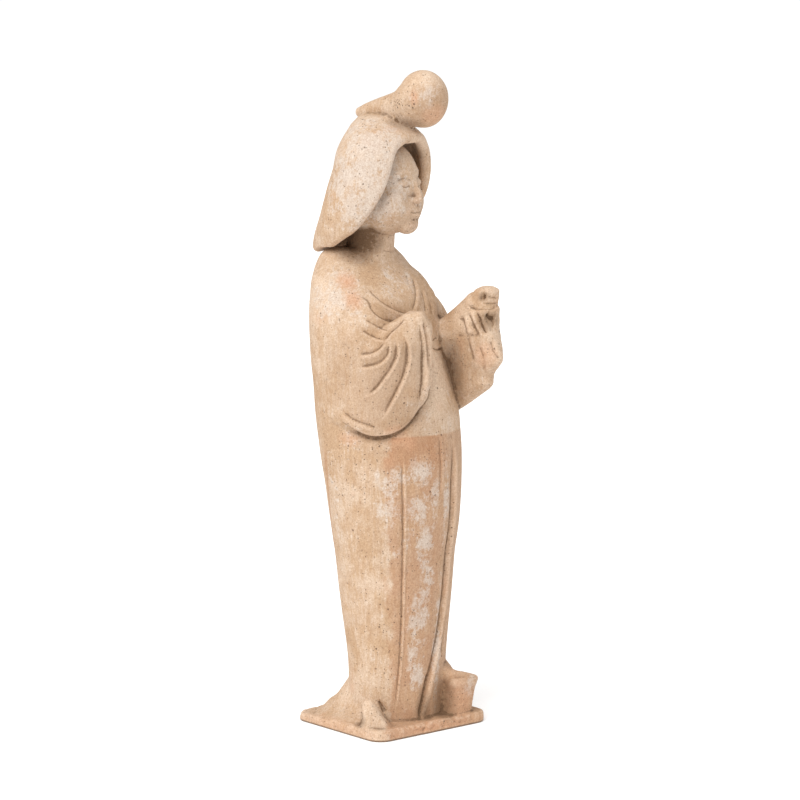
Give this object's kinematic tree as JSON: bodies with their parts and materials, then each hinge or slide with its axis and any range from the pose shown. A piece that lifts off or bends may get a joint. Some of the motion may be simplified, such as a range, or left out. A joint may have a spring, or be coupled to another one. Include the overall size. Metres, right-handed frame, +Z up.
{
  "type": "pottery court lady figure",
  "caption": "Standing robed lady in unglazed pottery with a forward topknot and long sleeves, on its own thin slab base.",
  "frame": {"origin": "centre of the underside of the slab base", "axes": "+Z up through the figure; the robe's front and the slab's long front edge face -Y; +X is the side of the raised fist, the figure's left"},
  "size_m": [0.0942, 0.1014, 0.3696],
  "materials": {
    "fired_clay": "unglazed matt buff earthenware with worn pale slip"
  },
  "bodies": {
    "root": {"court_lady": "fired_clay"}
  },
  "joints": []
}
